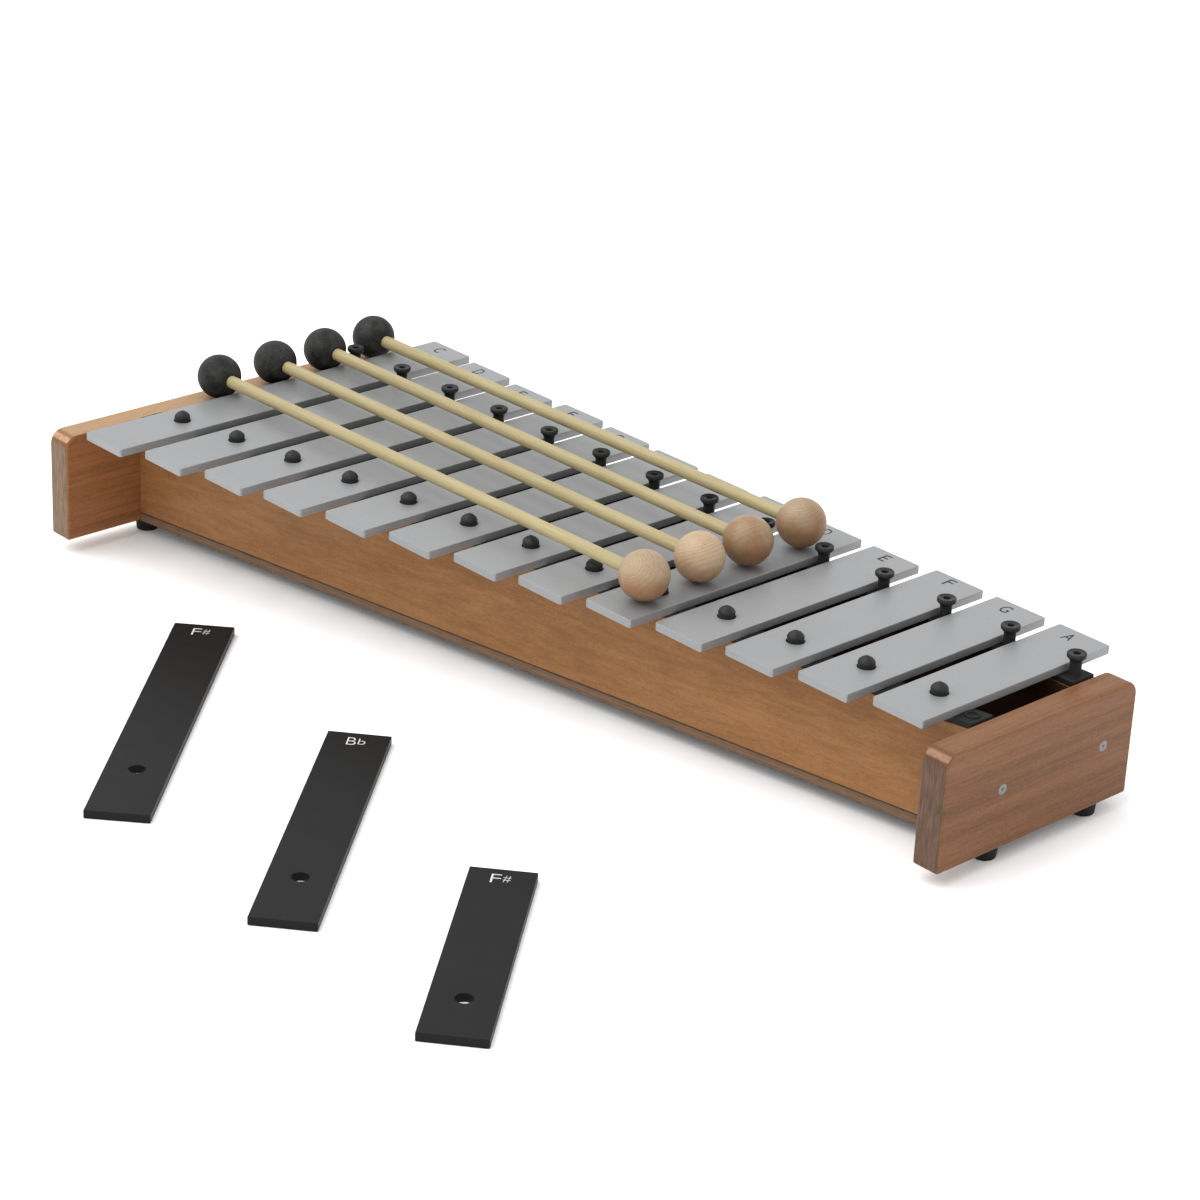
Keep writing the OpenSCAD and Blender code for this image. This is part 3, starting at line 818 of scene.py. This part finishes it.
class GLOCKENSPIEL_OT_pins(bpy.types.Operator):
    """Builds the front pins, one through each bar"""

    bl_idname = "glockenspiel.pins"
    bl_label = "Front pins"

    def execute(self, context):
        own = settings().fittings
        tint = rgb(own.moulding)
        moulding = black_rubber("pin_moulding", tint, shade_of(tint, 2.2), 0.5, 0.5, 0.1)
        radius, cap, soft = own.pin / 2, own.cap / 2, 0.2 * MM
        low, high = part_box("front_pins")
        bar_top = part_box("bar_c5")[1].z
        rise = high.z - bar_top
        # The part above the bar, from the stem to the nail's dimple, with its heights as shares of the rise
        above = (
            (radius, 0), (radius, 0.1), (radius, 0.17), (cap - 0.08 * MM, 0.21), (cap, 0.28), (cap, 0.4),
            (cap - 0.12 * MM, 0.49), (cap * 0.86, 0.62), (cap * 0.66, 0.77), (cap * 0.44, 0.87), (cap * 0.3, 0.91),
            (cap * 0.25, 0.95), (cap * 0.14, 0.99), (0, 1),
        )
        profile = [(0, 0), (radius - soft, 0), (radius, soft)]
        profile += [(out, bar_top - low.z + rise * share) for out, share in above]
        bm = bmesh.new()
        for spot in row("front_pins", radius, len(BARS)):
            turned(bm, profile, 32, Matrix.Translation(spot))
        finish_piece("front_pin_row", bm, moulding, "box", ["front_pins"], smooth_angle=50)
        return {"FINISHED"}


class GLOCKENSPIEL_OT_posts(bpy.types.Operator):
    """Builds the rear posts that stand between the bars"""

    bl_idname = "glockenspiel.posts"
    bl_label = "Rear posts"

    def execute(self, context):
        own = settings().fittings
        tint = rgb(own.moulding)
        moulding = black_rubber("post_moulding", tint, shade_of(tint, 2.2), 0.5, 0.5, 0.1)
        low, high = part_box("rear_posts")
        top, base, shank, head = (size / MM for size in (high.z - low.z, own.flange / 2, own.shank / 2, own.head / 2))
        nail_way, bore = 1.05, 1.35
        profile = metres(
            (nail_way, 0), (base - 0.2, 0), (base, 0.2), (base, 1.6), (base - 0.3, 1.9), (shank + 0.35, 1.9),
            (shank + 0.08, 2.2), (shank, 3.2), (shank, top - 4.1), (shank + 0.12, top - 3.3), (shank + 0.5, top - 2.6),
            (head - 0.4, top - 2.0), (head - 0.1, top - 1.75), (head, top - 1.5), (head, top - 0.3), (head - 0.3, top),
            (head - 0.9, top), (head - 1.15, top - 0.12), (bore + 0.35, top - 0.18), (bore + 0.08, top - 0.32),
            (bore, top - 0.7), (bore, top - 3), (nail_way, top - 3), (nail_way, 0),
        )
        bm = bmesh.new()
        for spot in row("rear_posts", own.flange / 2, len(BARS) + 1):
            turned(bm, profile, 32, Matrix.Translation(spot))
        finish_piece("rear_post_row", bm, moulding, "box", ["rear_posts"], smooth_angle=45)
        return {"FINISHED"}


class GLOCKENSPIEL_OT_feet_and_screws(bpy.types.Operator):
    """Builds the four feet and the end plates' screws, and finishes the nails"""

    bl_idname = "glockenspiel.feet_and_screws"
    bl_label = "Feet and screws"

    def execute(self, context):
        own = settings().fittings
        tint = rgb(own.rubber)
        rubber = black_rubber("foot_rubber", tint, shade_of(tint, 2.0), 0.6)
        steel = plated_steel("plated_steel", rgb(own.steel))
        for node in ("front_pin_nails", "rear_post_nails", "foot_screws"):
            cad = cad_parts[node].data
            cad.materials.clear()
            cad.materials.append(steel)

        wide, tall = own.foot / 2 / MM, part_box("feet")[1].z / MM
        recess, screw_way = 2.35, 1.25
        foot = metres(
            (recess, 0.3), (2.7, 0), (wide - 1.2, 0), (wide - 0.75, 0.12), (wide - 0.5, 0.55), (wide - 0.25, tall / 2),
            (wide, tall - 0.2), (wide - 0.15, tall), (screw_way, tall), (screw_way, tall / 2), (recess, tall / 2),
            (recess, 0.3),
        )
        bm = bmesh.new()
        for spot in solid_middles("foot_screws"):
            turned(bm, foot, 36, Matrix.Translation((spot.x, spot.y, 0)))
        finish_piece("foot_set", bm, rubber, "box", ["feet"], smooth_angle=45)

        low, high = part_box("plate_screws")
        radius, shank, proud = own.screw / 2 / MM, 1.2, 0.14
        bm = bmesh.new()
        for spot in solid_middles("plate_screws"):
            side = 1 if spot.x > 0 else -1
            face = high.x if side > 0 else low.x
            reach = 2 * (face - spot.x) * side / MM
            head = metres(
                (0, -0.1), (0.5, -0.08), (0.75, 0.07), (0.95, proud), (radius - 0.5, proud), (radius - 0.12, 0.03),
                (radius, -0.1), (shank, -1.6), (shank, 1.5 - reach), (0, -reach),
            )
            turn = Matrix.Rotation(math.radians(90 * side), 4, "Y")
            turned(bm, head, 28, Matrix.Translation((face, spot.y, spot.z)) @ turn)
        finish_piece("plate_screw_set", bm, steel, "box", ["plate_screws"], smooth_angle=40)
        return {"FINISHED"}


def solid_middles(node):
    """Middle of each separate solid of a CAD node."""
    bm = bmesh.new()
    bm.from_mesh(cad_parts[node].data)
    bmesh.ops.remove_doubles(bm, verts=bm.verts[:], dist=MERGE)
    left, middles = set(bm.verts), []
    while left:
        group, waiting = set(), [left.pop()]
        while waiting:
            v = waiting.pop()
            group.add(v)
            for e in v.link_edges:
                other = e.other_vert(v)
                if other in left:
                    left.discard(other)
                    waiting.append(other)
        corners = [[f(v.co[i] for v in group) for i in range(3)] for f in (min, max)]
        middles.append((Vector(corners[0]) + Vector(corners[1])) / 2)
    bm.free()
    return sorted(middles, key=lambda m: (round(m.x, 4), round(m.y, 4)))


# ---------------------------------------------------------------- mallets


def mallet_axis(mallet):
    """Middles of a mallet's rubber head and wooden head, and the two heads' radii."""
    low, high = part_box(f"{mallet}_rubber_head")
    rubber_radius = (high.y - low.y) / 2
    rubber = Vector((low.x + rubber_radius, (low.y + high.y) / 2, (low.z + high.z) / 2))
    low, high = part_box(f"{mallet}_wood_head")
    wood_radius = (high.y - low.y) / 2
    wooden = Vector((high.x - wood_radius, (low.y + high.y) / 2, (low.z + high.z) / 2))
    return rubber, wooden, rubber_radius, wood_radius


def along_axis(start, end):
    """Matrix that puts Z on the line from start to end, with the origin at start."""
    return Matrix.Translation(start) @ (end - start).to_track_quat("Z", "X").to_matrix().to_4x4()


def ball_profile(radius, hole, depth, lip):
    """A ball with a blind hole along +Z: depth is where the hole ends, and lip rounds its mouth."""
    mouth = math.degrees(math.asin((hole + lip) / radius))
    shell = arc((0, 0), radius, -90, 90 - mouth, 30)
    brim = math.sqrt(radius * radius - (hole + lip) ** 2)
    return shell + [(hole + lip * 0.3, brim - lip * 0.15), (hole, brim - lip), (hole, depth), (0, depth)]


class GLOCKENSPIEL_OT_handles(bpy.types.Operator):
    """Builds the four mallet handles"""

    bl_idname = "glockenspiel.handles"
    bl_label = "Mallet handles"

    def execute(self, context):
        own = settings().mallets
        timber = handle_wood("pale_handle_wood", rgb(own.handle_light), rgb(own.handle_dark))
        radius, past, soft, rings = own.handle / 2, own.past, 0.5 * MM, 24
        for mallet in MALLETS:
            rubber, wooden, *_ = mallet_axis(mallet)
            long = (wooden - rubber).length
            shaft = [(radius, -past + soft + (long + 2 * past - 2 * soft) * i / rings) for i in range(rings + 1)]
            profile = [(0, -past), (radius - soft, -past), *shaft, (radius - soft, long + past), (0, long + past)]
            bm = bmesh.new()
            turned(bm, profile, 28, along_axis(rubber, wooden))
            finish_piece(f"{mallet}_stick", bm, timber, mallet, [f"{mallet}_handle"], smooth_angle=60)
        return {"FINISHED"}


class GLOCKENSPIEL_OT_wooden_heads(bpy.types.Operator):
    """Builds the four turned wooden heads"""

    bl_idname = "glockenspiel.wooden_heads"
    bl_label = "Wooden heads"

    def execute(self, context):
        own = settings().mallets
        for mallet, (turn, shift, tone, warmth, eye) in MALLETS.items():
            rubber, wooden, _, radius = mallet_axis(mallet)
            light, dark = shade_of(rgb(own.head_light), tone), shade_of(rgb(own.head_dark), tone)
            timber = head_wood(f"{mallet}_head_wood", light, dark, wooden, radius, turn, shift, warmth, eye)
            bm = bmesh.new()
            profile = ball_profile(radius, own.handle / 2, -own.past, 0.3 * MM)
            turned(bm, profile, 56, along_axis(wooden, rubber))
            finish_piece(
                f"{mallet}_wooden_ball", bm, timber, mallet, [f"{mallet}_wood_head"], smooth_angle=45
            )
        return {"FINISHED"}


class GLOCKENSPIEL_OT_rubber_heads(bpy.types.Operator):
    """Builds the four rubber heads"""

    bl_idname = "glockenspiel.rubber_heads"
    bl_label = "Rubber heads"

    def execute(self, context):
        own = settings().mallets
        rubber_look = black_rubber("head_rubber", rgb(own.rubber), rgb(own.dust), 0.58, 0.9)
        for mallet in MALLETS:
            rubber, wooden, radius, _ = mallet_axis(mallet)
            bm = bmesh.new()
            profile = ball_profile(radius, own.handle / 2, -own.past, 0.45 * MM)
            turned(bm, profile, 56, along_axis(rubber, wooden))
            finish_piece(
                f"{mallet}_rubber_ball", bm, rubber_look, mallet, [f"{mallet}_rubber_head"],
                smooth_angle=45,
            )
        return {"FINISHED"}


# ---------------------------------------------------------------- stage


class GLOCKENSPIEL_OT_stage(bpy.types.Operator):
    """Makes the floor, the light and the camera"""

    bl_idname = "glockenspiel.stage"
    bl_label = "Stage"

    def execute(self, context):
        own = settings().stage
        scene = context.scene
        scene.view_settings.view_transform = "Standard"
        bm = bmesh.new()
        bmesh.ops.create_grid(bm, x_segments=1, y_segments=1, size=FLOOR_REACH)
        mesh = bpy.data.meshes.new("floor")
        bm.to_mesh(mesh)
        bm.free()
        floor = bpy.data.objects.new("floor", mesh)
        scene.collection.objects.link(floor)
        paint = Paint("floor_paper", roughness=0.9)
        tooth = paint.noise(paint.place(), 300, 2)
        paint.feed("Base Color", paint.mix(tooth, shade_of(rgb(own.floor), 0.995), rgb(own.floor)))
        mesh.materials.append(paint.material)

        world = bpy.data.worlds.new("studio")
        scene.world = world
        world.use_nodes = True
        background = world.node_tree.nodes["Background"]
        background.inputs["Color"].default_value = (1, 1, 1, 1)
        background.inputs["Strength"].default_value = own.sky

        lamps = (("key", own.key, 60, (-0.4, -0.45, 1)), ("fill", own.fill, 90, (-0.15, -1, 0.7)))
        for name, strength, angle, source in lamps:
            light = bpy.data.lights.new(name, "SUN")
            light.energy, light.angle = strength, math.radians(angle)
            lamp = bpy.data.objects.new(name, light)
            lamp.rotation_mode = "QUATERNION"
            lamp.rotation_quaternion = Vector(source).to_track_quat("Z", "Y")
            scene.collection.objects.link(lamp)

        camera = bpy.data.cameras.new("camera")
        camera.lens, camera.sensor_width = own.lens, 36
        camera.clip_start, camera.clip_end = 0.05, 50
        view = bpy.data.objects.new("camera", camera)
        turn = Matrix.Rotation(own.azimuth, 4, "Z") @ Matrix.Rotation(math.pi / 2 - own.elevation, 4, "X")
        view.matrix_world = Matrix.Translation(own.place) @ turn @ Matrix.Rotation(own.roll, 4, "Z")
        scene.collection.objects.link(view)
        scene.camera = view
        return {"FINISHED"}


# ---------------------------------------------------------------- panel and registration

OPERATORS = (
    GLOCKENSPIEL_OT_stage,
    GLOCKENSPIEL_OT_end_plates,
    GLOCKENSPIEL_OT_rails,
    GLOCKENSPIEL_OT_strips,
    GLOCKENSPIEL_OT_pins,
    GLOCKENSPIEL_OT_posts,
    GLOCKENSPIEL_OT_feet_and_screws,
    GLOCKENSPIEL_OT_bars,
    GLOCKENSPIEL_OT_spare_bars,
    GLOCKENSPIEL_OT_handles,
    GLOCKENSPIEL_OT_wooden_heads,
    GLOCKENSPIEL_OT_rubber_heads,
)


class GLOCKENSPIEL_PT_panel(bpy.types.Panel):
    """Lists the pieces that can be built"""

    bl_idname = "GLOCKENSPIEL_PT_panel"
    bl_label = "Glockenspiel"
    bl_space_type = "VIEW_3D"
    bl_region_type = "UI"
    bl_category = "Glockenspiel"

    def draw(self, context):
        for operator in OPERATORS:
            self.layout.operator(operator.bl_idname)
        for group in (settings().bars, settings().box, settings().fittings, settings().mallets, settings().stage):
            box = self.layout.box()
            for key in group.__annotations__:
                box.prop(group, key)


SETTING_GROUPS = (BarSettings, BoxSettings, FittingSettings, MalletSettings, StageSettings, GlockenspielSettings)


def register():
    """Registers the settings, the operators and the panel."""
    for made in (*SETTING_GROUPS, *OPERATORS, GLOCKENSPIEL_PT_panel):
        bpy.utils.register_class(made)
    bpy.types.Scene.glockenspiel = bpy.props.PointerProperty(type=GlockenspielSettings)


def unregister():
    """Removes what register added."""
    del bpy.types.Scene.glockenspiel
    for made in reversed((*SETTING_GROUPS, *OPERATORS, GLOCKENSPIEL_PT_panel)):
        bpy.utils.unregister_class(made)


def main():
    """Builds everything."""
    register()
    for operator in OPERATORS:
        getattr(bpy.ops.glockenspiel, operator.bl_idname.split(".")[1])()


if __name__ == "__main__":
    main()
